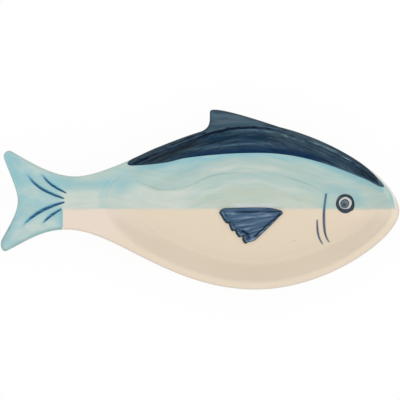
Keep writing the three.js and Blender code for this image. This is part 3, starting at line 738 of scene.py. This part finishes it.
# Back paint
# Navy slip, brushed thickly along the back, over the rim and the whole back fin, and down the well's wall.
# The brush leaves long broken streaks; the slip pools dark in the crease at the lip and dries slate on the fin.
SLIP_IOR = 1.15  # thick slip soaks up most of the glaze and shines less
NAVY_SEAT = 0.12
NAVY_BODY = 0.12
NAVY_ROWS = 64
NAVY_NOSE_X = 93.2
NAVY_TIP_ROUND = [2.4, 2.8]  # at the nose and at the tail
NAVY_BARE = ([66, 80, 86, 90], [0.0, 0.2, 0.6, 1.2])  # the cream edge that stays bare towards the nose
FIN_CREST = ([-36, 0, 6, 40, 92], [23, 43, 50.2, 42, 16])  # top of the streaks' fan, over the fin and the rim
FAN_STREAKS = ([-36, 0, 8, 40, 92], [2.5, 3, 5, 3, 2.5])  # how many streaks wide that fan is
back_points = (outline.real < NAVY_NOSE_X) & (outline.real > navy_edge[0].real) & (outline.imag > 0)
navy_rim = edge_columns(np.interp(outline.real, *NAVY_BARE), back_points)
navy_low = evenly(navy_edge[::-1], len(navy_rim))
navy = ruled(navy_rim, navy_low, NAVY_ROWS)
from_tips = abs(navy_low[:, None] - navy_low[[0, -1]]) / NAVY_TIP_ROUND
narrowing = rounding(from_tips.min(1))[:, None]
navy_middle = (navy[:, :1] + navy[:, -1:]) / 2
navy = navy_middle + (navy - navy_middle) * narrowing
x, y, run = navy.real, navy.imag, well_run(navy)
lip_y = height_along(mouth_back, x)
fan = (y - lip_y) / np.maximum(np.interp(x, *FIN_CREST) - lip_y, RIM_BACK_WIDTH)
across = np.where(run < 0, -np.interp(x, *FAN_STREAKS) * np.maximum(fan, 0), run)
over_low = above_path(navy, navy_edge)
on_rim = smooth(-run, 0.1, 0.9)
to_tail = smooth(x, 8, -8)
black_low = np.interp(x, [-20, -10], [0.4, 3.4])  # how far above its lower edge the slip turns black
crease_width = 0.38 + 0.12 * np.sin(x / 4.3 + 1) + 0.38 * bell(x - 12, 9)
crease = (run + 0.12 * np.sin(x / 5) + 0.1 * np.sin(x / 2.1)) / crease_width
glint_run = np.interp(x, [30, 50, 60, 80], [1.0, 0.8, -0.9, -1.2])  # how far in from the lip the painted glints lie
light_low = np.interp(x, [-10, 40], [3.7, 4.9])  # and how far above the lower edge the light streak does
dry_rim = 0.3 + 0.35 * between(x, -32, -6, 4) + 0.3 * between(x, 3, 27, 5) + 0.4 * between(x, 27, 64, 6)
navy_marks = {
    "slate": on_rim * dry_rim
    + 0.8 * spot(navy, 13 + 45.2j, 8, 2.0)
    + 0.55 * between(x, 33, 66, 6) * smooth(run, 5.5, 2.2)
    + 0.4 * between(x, 68, 80, 4) * smooth(run, 0.8, 2.2)
    + 0.9 * smooth(x, 87.5, 90),
    "black": to_tail * (0.3 + 0.9 * smooth(run, 0.5, 1.5) * smooth(over_low, black_low, black_low + 1.4))
    + 0.55 * smooth(x, 72, 82) * (1 - 1.4 * smooth(x, 87.5, 90)),
    "teal": 0.85 * bell(over_low - 7.8, 1.9) * between(x, 2, 34, 5),
    "ink": -0.5
    + 0.35 * between(x, 34, 90, 6)
    + 0.25 * between(x, -10, 40, 6)
    - 0.7 * on_rim * between(x, 2, 32, 4),
    # paler brush streaks on the wall, and a painted highlight just inside the lip
    "light": 0.55 * bell(over_low - light_low, 0.75) * between(x, -8, 42, 6)
    + bell(run - 1.3, 0.5) * between(x, 16, 36, 4)
    + bell(over_low - 0.3, 0.6) * between(x, 62, 88, 4),
    "deep": 0.9 * smooth(over_low, 3.8, 0.9) * between(x, -9, 59, 6)
    + 0.7 * smooth(over_low, 0.9, 0.2) * smooth(x, -25, -31)
    + 0.4 * smooth(over_low, 4.4, 2.2) * smooth(over_low, 0.4, 1.4) * between(x, 36, 68, 6),
    # painted highlight: pale glints just inside the lip
    "lip_glint": -0.32
    + 0.3 * smooth(x, 54, 62)
    - 1.5 * (1 - bell(run - glint_run, 1.1) * between(x, 32, 82, 4)),
    # painted shade over the rounded outer edge
    "edge": -0.2 + 0.9 * smooth(depth_inside(outline, navy), 1.3, 0.4) * between(x, -33, 80, 4),
    "crease": (1.0 + 0.7 * bell(x - 11, 10)) * bell(crease, 1) * between(x, -33, 36, 5)
    + 0.7 * bell(run + 1.3, 0.3) * between(x, -20, 3, 3)
    + bell(from_stretch(navy, -33 + 23.2j, -26 + 26.0j), 0.45)
    + bell(crease, 1) * (0.3 * between(x, 40, 60, 6) + 0.7 * between(x, 66, 87, 4))
    - 0.6 * smooth(-run, 0.9, 1.6) * between(x, 3, 32, 4),
    "brush": x + 1j * across,
}
# Thick slip gives the eye a deep, dull navy in long streaks, black where it pools and slate where it dries, with
# painted highlights at the lip and painted shade over the outer edge
NAVY_LAYERS = [
    ("slate", "#506571", 0.4, 22.0, 0.9),
    ("black", "#22282d", 0.25, 16.0, 1.0),
    ("teal", "#073045", 0.35, 14.0, 0.8),
    ("ink", "#13202b", 1.2, 24.0, 0.6),
    ("light", "#4b6980", 0.4, 14.0, 0.7),
    ("deep", "#0a2e50", 0.3, 18.0, 0.8),
    ("lip_glint", "#7d99a5", 1.5, 5.0, 0.34),
    ("crease", "#05152a", 0.6, 4.0, 0.6),
    ("edge", "#2f3e47", 0.2, 8.0, 0.8),
]
material = brushed("navy_slip", "#2b4254", NAVY_LAYERS, SLIP_IOR)
add_coat("back_paint", navy, NAVY_SEAT, feathered(navy, NAVY_BODY), material, "navy_slip", **navy_marks)

# Pectoral fin
# A fan-shaped fin in low relief on the floor of the well, with rolled edges above and below, rays between them
# and a scalloped rear edge. It is painted with slate blue slip, which pools dark in its grooves.
FIN_BODY = 0.95
FIN_SEAT = 0.11
FIN_ROUND = 1.1
FIN_COLUMNS = 110
FIN_ROWS = 140
FIN_NOTCHES = np.array([0, 0.36, 0.587, 0.81, 1])  # ends of the scallops, as shares of the rear edge
FIN_TEETH = (  # shares of the rear edge, and how far it stands out there
    [0, 0.12, 0.22, 0.3, 0.36, 0.44, 0.5, 0.552, 0.587, 0.66, 0.74, 0.784, 0.81, 0.85, 0.92, 1],
    [0, 0.35, 0.7, 0.7, -0.15, 0.6, 1.0, 0.95, -0.2, 0.35, 0.5, 0.2, -1.4, -0.3, 0.25, 0],
)
FIN_TEETH_POWER = 8  # how fast the scallops die away ahead of the rear edge
FIN_RAYS = 7
FIN_RAY_ROOT = 64 + 0.8j  # where the rays would meet, far ahead of the fin
FIN_RAY_SLOPE = 0.44  # of the lowest ray
FIN_FAN = 18.0  # mm across all the rays, for the brush's streaks
GROOVE_DEPTH, RAY_DEPTH, CLEFT_DEPTH = 0.3, 0.06, 0.25  # shares of the fin's body
TOP_GROOVE = ([17, 22, 33, 40], [0.4, 1, 1, 0.6])  # how deep the upper groove is along the fin
fin_heel, fin_toe = 9.5 - 1.6j, 22.8 - 17.25j
fin_top = pen(
    [
        (41.45, -1.7, 90, 0, 0.35),
        (40.2, -0.4, 160, 0.4, 0.3),
        (34.0, 0.9, 176, 0.4, 0.3),
        (13.2, 0.75, 181, 0.3, 0.4),
        (fin_heel.real, fin_heel.imag, 250, 0.45, 0),
    ]
)
fin_low = pen(
    [
        (41.45, -1.7, 270, 0, 0.35),
        (40.1, -3.2, 226, 0.4, 0.3),
        (28.0, -14.95, 222, 0.3, 0.35),
        (24.1, -16.4, 200, 0.35, 0.3),
        (fin_toe.real, fin_toe.imag, 225, 0.3, 0),
    ]
)
out = np.linspace(0, 1, FIN_COLUMNS)[:, None]
across = np.linspace(0, 1, FIN_ROWS)
top_side, low_side = (evenly(path, FIN_COLUMNS)[:, None] for path in (fin_top, fin_low))
fin = top_side * (1 - across) + low_side * across
which = np.clip(np.searchsorted(FIN_NOTCHES, across, "right") - 1, 0, len(FIN_NOTCHES) - 2)
scallop = (across - FIN_NOTCHES[which]) / np.diff(FIN_NOTCHES)[which]
rearward = 1j * (fin_heel - fin_toe) / abs(fin_heel - fin_toe)
fin = fin + out**FIN_TEETH_POWER * rearward * np.interp(across, *FIN_TEETH)
fin_width = abs(fin[:, -1:] - fin[:, :1])
below_top, above_low = across * fin_width, (1 - across) * fin_width
from_rear = abs(fin - fin[-1:])
fin_edge_gap = np.minimum(np.minimum(below_top, above_low), from_rear)
top_groove = bell(from_stretch(fin, 17.5 - 1.3j, 40.5 - 0.9j), 0.5) * np.interp(fin.real, *TOP_GROOVE)
low_groove = bell(from_stretch(fin, 40.0 - 2.2j, 27.5 - 13.2j), 0.5)
grooves = np.maximum(top_groove, low_groove)
ray = (FIN_RAY_ROOT.imag - fin.imag) / (FIN_RAY_ROOT.real - fin.real) / FIN_RAY_SLOPE
rays = np.cos(2 * np.pi * (FIN_RAYS * ray + 0.2 * np.sin(9 * ray))) * between(out, 0.2, 0.9, 0.1)
to_notch = np.min(abs(across - FIN_NOTCHES[1:-1, None]), 0)
clefts = bell(to_notch, 0.022) * smooth(from_rear, 2.8, 1.0)
lumps = bell(from_rear - 1.45, 0.4) * between(scallop, 0.3, 0.85, 0.15)
cracks = bell(from_rear - 2.4, 0.3) * between(scallop, 0.15, 0.65, 0.15)
dabs = np.maximum(bell(from_stretch(fin, 21.4 - 10.8j, 24.0 - 12.3j), 0.7), spot(fin, 24.4 - 13.7j, 0.9, 0.8))
fin_body = FIN_BODY * rounding(fin_edge_gap / FIN_ROUND)
fin_body *= 1 - GROOVE_DEPTH * grooves - RAY_DEPTH * (1 - rays) - CLEFT_DEPTH * clefts
fin_marks = {
    # pale ridges and rays, with painted highlights on the rear lumps and below the upper groove
    "light": -0.2
    + 0.5 * rays
    + 0.6 * bell(from_stretch(fin, 16 - 2.3j, 39 - 1.7j), 0.4)
    + 0.55 * bell(above_low - 0.7, 0.4)
    + 0.55 * lumps
    + 0.9 * spot(fin, 26 - 14.6j, 1.5, 1.2)
    + 0.5 * spot(fin, 34 - 3j, 3, 1),
    "ink": -0.4 - 0.35 * rays + 0.4 * bell(from_rear - 3, 2),
    "groove": 1.05 * grooves + clefts + 1.2 * dabs + 0.7 * cracks,
    "rim": smooth(fin_edge_gap, 0.6, 0.1) + 0.95 * smooth(from_rear, 1.5, 0.8),
    "brush": fin.real + 1j * FIN_FAN * ray,
}
# Slip over relief gives the eye pale slate ridges with dark blue between them, and painted highlights on the
# lumps
FIN_LAYERS = [
    ("light", "#8ba2ba", 0.75, 9.0, 0.7),
    ("ink", "#2a3f5a", 1.0, 10.0, 0.6),
    ("groove", "#10233a", 0.3, 6.0, 0.6),
    ("rim", "#2a3744", 0.25, 6.0, 0.6),
]
material = brushed("slate_blue_slip", "#4c6680", FIN_LAYERS, SLIP_IOR)
add_coat("pectoral_fin", fin, FIN_SEAT, fin_body, material, "fin_slip", **fin_marks)

# Eye
# Three touches of slip with a round brush: an off-white disc, then a dark ring and a dark pupil over its edges.
# The brush lifted off at the ring's lower right and left a blob there.
EYE_POINTS = 96
EYE_ROWS = 14
EYE_ROUND = 0.4  # mm over which a touch rounds off
EYE_BLOB_ANGLE = np.radians(-38)
eye_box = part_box("eye_pupil")
eye_centre = complex(*(eye_box[0] + eye_box[1])[:2]) / 2 / MM - SHIFT
angle = np.linspace(0, 2 * np.pi, EYE_POINTS, endpoint=False)[:, None]
blob = bell(np.angle(np.exp(1j * (angle - EYE_BLOB_ANGLE))), 0.2)
wobble = 0.08 * np.sin(2 * angle + 1.2) + 0.06 * np.sin(5 * angle)
eye_hole = 3.13 + wobble + 0.22 * np.sin(angle) + 0.06 * np.cos(angle)  # lies a little off the ring's middle
EYE_SHAPES = {  # seat, body, place beside the eye's centre, inner and outer radius
    "eye_white": (0.11, 0.06, 0.15 + 0.2j, 1.5, 3.75),
    "eye_ring": (0.18, 0.12, 0.05j, eye_hole, 4.72 - wobble + 0.4 * blob),
    "eye_pupil": (0.18, 0.12, -0.2 + 0.05j, 0, 2.22 - 0.1 * np.cos(2 * angle) + wobble),
}
# A wet touch gives the eye a flat tint with a darker edge, where it dried last, and one uneven shade
EYE_PAINTS = {  # slot, tint, the edge's tint, and the shade's place, size and tint
    "eye_white": ("eye_white", "#d3d1ca", "#c6c6c9", -1.5 - 2.1j, 2.4, "#96a3ae"),
    "eye_ring": ("eye_slip", "#3c4a56", "#1e2a34", -2.9 + 2.6j, 1.8, "#5c6070"),
    "eye_pupil": ("eye_slip", "#72808a", "#27323a", -0.35 - 0.55j, 1.1, "#2a373b"),
}
for name, (seat, body, aside, inner, outer) in EYE_SHAPES.items():
    slot, tint, dark, place, size, shade = EYE_PAINTS[name]
    radius = inner + (outer - inner) * np.linspace(0, 1, EYE_ROWS) + 0 * angle
    spoke = radius * np.exp(1j * angle)
    side = outer - radius if name == "eye_pupil" else np.minimum(outer - radius, radius - inner)
    height = body * rounding(side / EYE_ROUND)
    marks = {
        "shade": 0.9 * spot(spoke, place, size, size),
        "edge": 0.85 * smooth(side, 0.8, 0.15),
        "brush": spoke,
    }
    layers = [("shade", shade, 0.2, 1.2, 1.2), ("edge", dark, 0.25, 1.2, 1.2)]
    material = brushed(name + "_slip", tint, layers)
    add_coat(name, eye_centre + aside + spoke, seat, height, material, slot, joined=True, **marks)

# Gill strokes
# Two strokes of a fine brush behind the head, tapered at both ends, over the wash and the cream alike.
STROKE_SEAT = 0.13
STROKE_BODY = 0.16
STROKE_COLUMNS = 70
STROKE_ROWS = 11
STROKE_END = 0.02  # share of a stroke over which its end rounds off
STROKE_SWELL = 0.6  # how slowly it comes to its full width
GILL_STROKES = {  # knots of the path, width, and the tips' shares of it
    "gill_stroke_long": (
        [(63.2, 8.2, 262, 0, 0.35), (62.0, -4.0, 271, 0.35, 0.35), (64.9, -16.3, 318, 0.3, 0)],
        1.3,
        (0.85, 0.25),
    ),
    "gill_stroke_short": (
        [(58.7, -5.0, 266, 0, 0.35), (58.9, -10.8, 277, 0.3, 0.3), (61.6, -17.3, 318, 0.3, 0)],
        1.05,
        (0.5, 0.3),
    ),
}
# A fine wet stroke gives the eye a soft slate line, teal over the wash and paler along its sides
GILL_LAYERS = [("teal", "#457887", 0.2, 8.0, 0.6), ("thin", "#8c929f", 0.2, 8.0, 0.6)]


def stroke(path, width, tips):
    """A brush stroke along a path, which swells to its width from rounded ends. The tips are the widths of its
    start and its end, as shares of that width."""
    along = np.linspace(0, 1, STROKE_COLUMNS)[:, None]
    across = np.linspace(-0.5, 0.5, STROKE_ROWS)
    middle = evenly(path, STROKE_COLUMNS)[:, None]
    run = np.gradient(middle, axis=0)
    tip = tips[0] + (tips[1] - tips[0]) * along
    swell = tip + (1 - tip) * np.sin(np.pi * along) ** STROKE_SWELL
    round_end = rounding(np.minimum(along, 1 - along) / STROKE_END)
    return middle + 1j * run / abs(run) * width * swell * round_end * across


for name, (knots, width, tips) in GILL_STROKES.items():
    grid = stroke(pen(knots), width, tips)
    marks = {
        "teal": smooth(grid.imag, -3, 3),
        "thin": 0.8 * bell(from_ends(grid.T).T, 0.2),
        "brush": grid.imag + 1j * grid.real,
    }
    material = brushed(name + "_slip", "#595d70", GILL_LAYERS)
    add_coat(name, grid, STROKE_SEAT, feathered(grid, STROKE_BODY), material, "gill_slip", **marks)

# Tail strokes
# Four strokes of the same brush in a stronger blue, flicked outwards from the stalk over the tail's wash.
# They are wetter on one side, where a paler blue bleeds out of them.
TAIL_TIPS = (0.25, 0.4)
# A wet stroke gives the eye a strong blue core, darker towards the stalk, in a paler fringe
STROKE_LAYERS = [
    ("inward", "#22415a", 0.25, 8.0, 0.6),
    ("fringe", "#5fa3bd", 0.3, 6.0, 0.6),
    ("lifted", "#8fbecb", 0.2, 4.0, 0.6),
]
for name, path in tail_paths.items():
    node = "tail_stroke_" + name
    grid = stroke(path, TAIL_STROKES[name][-1], TAIL_TIPS)
    inward = 0.7 * smooth(grid.real, tail_edge_x - 12, tail_edge_x)
    bled = np.linspace(-1, 1, STROKE_ROWS) + 0 * inward
    dry = smooth(np.linspace(0, 1, STROKE_COLUMNS), 0.3, 0)[:, None]  # towards the end that was flicked
    marks = {
        "inward": inward,
        "fringe": smooth(bled, 0.1, 0.8) + 0.6 * smooth(bled, -0.6, -1) + 0.6 * dry,
        "lifted": 1.1 * dry**4 + 0 * inward,
        "brush": grid,
    }
    material = brushed(node + "_slip", "#1b5076", STROKE_LAYERS)
    add_coat(node, grid, STROKE_SEAT, feathered(grid, STROKE_BODY), material, "tail_slip", **marks)

# Floor, light and camera
# The dish lies on a white sheet under a broad soft light, and the camera looks straight down at it.
SHEET_HALF = 6.0  # metres
PAPER = (0.8, 0.8, 0.8, 1.0)  # what the dish sees of the sheet
WHITE = (1.0, 1.0, 1.0, 1.0)  # what the camera sees of it
SHEET_GLOW = 0.94  # share of that white which no shadow darkens
WALLS = {"From Min": 0.1, "From Max": 0.3, "To Min": 0.45, "To Max": 1.15}  # the light from low to higher up
OVERHEAD = {"From Min": 0.88, "From Max": 0.97, "To Min": 1.0, "To Max": 0.25}  # and its fall straight above
LIGHT_LEAN = (0.05, -0.08, 0.0)  # a little stronger from the nose and the belly's side
IMAGE_WIDTH = 199.4  # mm across the picture, at the rim's level
LENS = 400.0
SENSOR = 36.0
VIEW_CENTRE = 0 + 4.8j

sheet = bpy.data.meshes.new("sheet")
corners = np.array([(-1, -1, 0), (1, -1, 0), (1, 1, 0), (-1, 1, 0)]) * SHEET_HALF
sheet.from_pydata(corners, [], [(0, 1, 2, 3)])
floor = bpy.data.objects.new("floor", sheet)
scene.collection.objects.link(floor)
white = bpy.data.materials.new("white_sheet")
white.use_nodes = True
tree = white.node_tree
tree.nodes.clear()
rays = add(tree, "LightPath").outputs
seen = add(tree, "Math", {0: rays["Is Camera Ray"], 1: rays["Is Glossy Ray"]}, operation="MAXIMUM")
seen = add(tree, "Math", {0: seen.outputs[0], 1: rays["Is Transmission Ray"]}, operation="MAXIMUM")
paper = add(tree, "BsdfDiffuse", {"Color": PAPER})
shaded = add(tree, "BsdfDiffuse", {"Color": WHITE})
glow = add(tree, "Emission", {"Color": WHITE, "Strength": 1.0})
backdrop = add(tree, "MixShader", {0: SHEET_GLOW, 1: shaded.outputs[0], 2: glow.outputs[0]})
face = add(tree, "MixShader", {0: seen.outputs[0], 1: paper.outputs[0], 2: backdrop.outputs[0]})
add(tree, "OutputMaterial", {"Surface": face.outputs[0]})
sheet.materials.append(white)

world = bpy.data.worlds.new("soft_studio")
scene.world = world
world.use_nodes = True
tree = world.node_tree
tree.nodes.clear()
direction = add(tree, "TexCoord").outputs["Generated"]
up = add(tree, "SeparateXYZ", {0: direction}).outputs["Z"]
walls = add(tree, "MapRange", {"Value": up, **WALLS}, interpolation_type="SMOOTHSTEP").outputs[0]
overhead = add(tree, "MapRange", {"Value": up, **OVERHEAD}, interpolation_type="SMOOTHSTEP").outputs[0]
lean = add(tree, "VectorMath", {0: direction, 1: LIGHT_LEAN}, operation="DOT_PRODUCT").outputs["Value"]
level = add(tree, "Math", {0: walls, 1: overhead}, operation="MULTIPLY").outputs[0]
level = add(tree, "Math", {0: level, 1: lean, 2: level}, operation="MULTIPLY_ADD").outputs[0]
sky = add(tree, "Background", {"Color": WHITE, "Strength": level})
add(tree, "OutputWorld", {"Surface": sky.outputs[0]})

camera_data = bpy.data.cameras.new("camera")
camera_data.lens = LENS
camera_data.sensor_width = SENSOR
camera = bpy.data.objects.new("camera", camera_data)
scene.collection.objects.link(camera)
centre = VIEW_CENTRE + SHIFT
camera.location = (centre.real * MM, centre.imag * MM, (RIM_Z + IMAGE_WIDTH * LENS / SENSOR) * MM)
scene.camera = camera
scene.view_settings.view_transform = "Standard"
